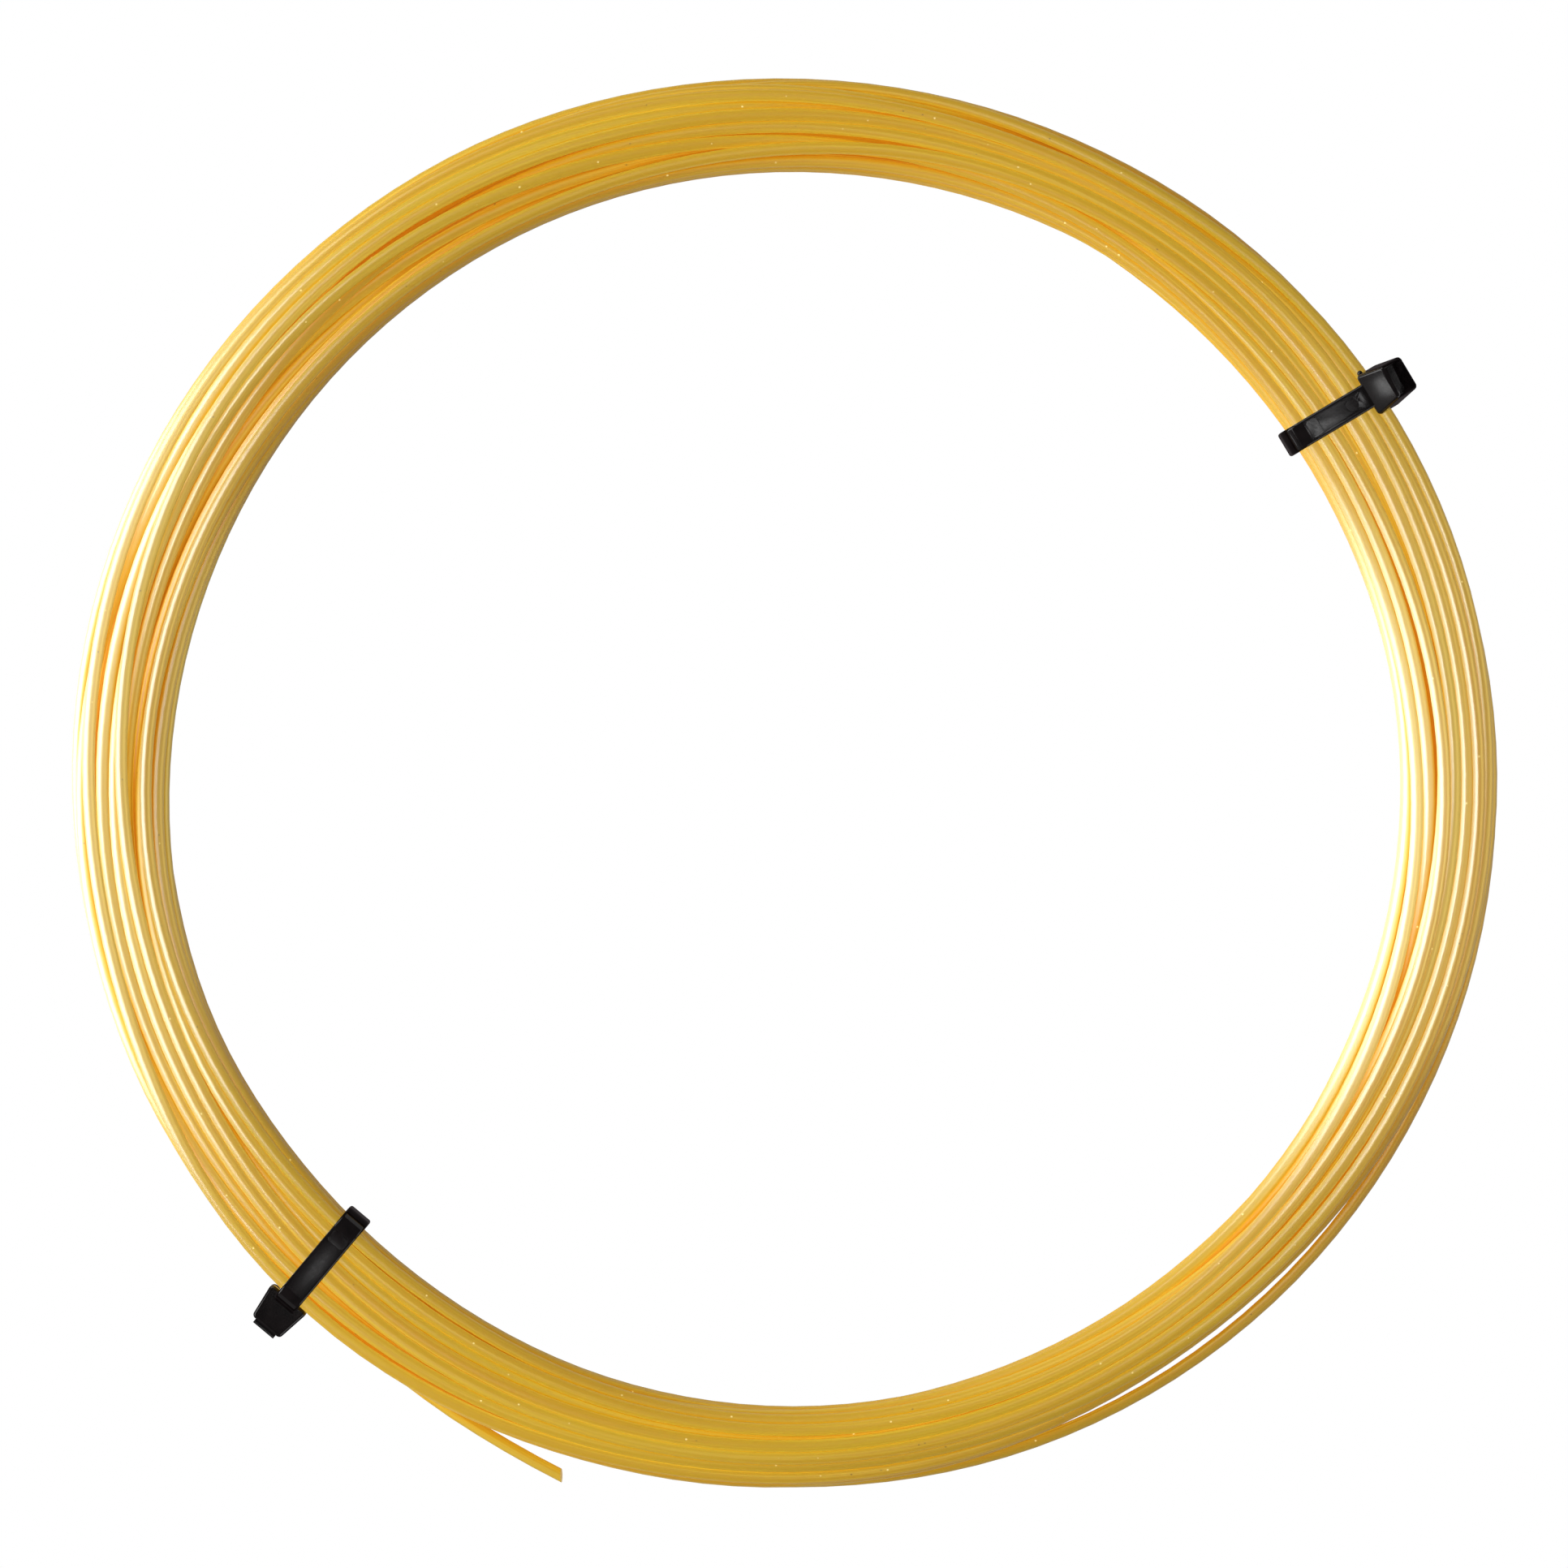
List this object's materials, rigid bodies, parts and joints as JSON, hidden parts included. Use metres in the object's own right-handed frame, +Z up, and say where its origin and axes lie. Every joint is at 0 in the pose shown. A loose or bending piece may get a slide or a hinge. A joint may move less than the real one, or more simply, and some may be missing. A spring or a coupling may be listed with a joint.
{
  "type": "coil of racket string",
  "caption": "Loose ring coil of translucent amber racket string, bound by black cable ties with toothed straps and flexing pawls, with a free cut end.",
  "frame": {"origin": "centre of the ring coil on the plane it lies on", "axes": "+Z up out of that plane, +X to the right and +Y away from the viewer as the coil is seen from above"},
  "size_m": [0.1426, 0.1425, 0.0109],
  "materials": {
    "string": "translucent amber nylon, glossy",
    "tie": "black moulded nylon, satin gloss"
  },
  "bodies": {
    "string_bundle": {"string_coil": "string", "string_tail": "string"},
    "right_tie": {"right_tie_strap": "tie", "right_tie_head": "tie"},
    "right_pawl": {"right_tie_pawl": "tie"},
    "left_tie": {"left_tie_strap": "tie", "left_tie_head": "tie"},
    "left_pawl": {"left_tie_pawl": "tie"}
  },
  "joints": [
    {"name": "right_tie_slide", "type": "hinge", "parent": "string_bundle", "child": "right_tie", "pos_m": [0, 0, 0.004], "axis": [0, 0, 1], "range_deg": [-3, 3]},
    {"name": "right_pawl_flex", "type": "hinge", "parent": "right_tie", "child": "right_pawl", "pos_m": [0.05941, 0.03946, 0.00782], "axis": [0.512, -0.859, 0], "range_deg": [0, 12], "stiffness_Nm_per_rad": 0.0002},
    {"name": "left_tie_slide", "type": "hinge", "parent": "string_bundle", "child": "left_tie", "pos_m": [0, 0, 0.004], "axis": [0, 0, 1], "range_deg": [-3, 3]},
    {"name": "left_pawl_flex", "type": "hinge", "parent": "left_tie", "child": "left_pawl", "pos_m": [-0.05008, -0.05211, 0.00451], "axis": [-0.766, 0.6428, 0], "range_deg": [0, 12], "stiffness_Nm_per_rad": 0.0002}
  ]
}
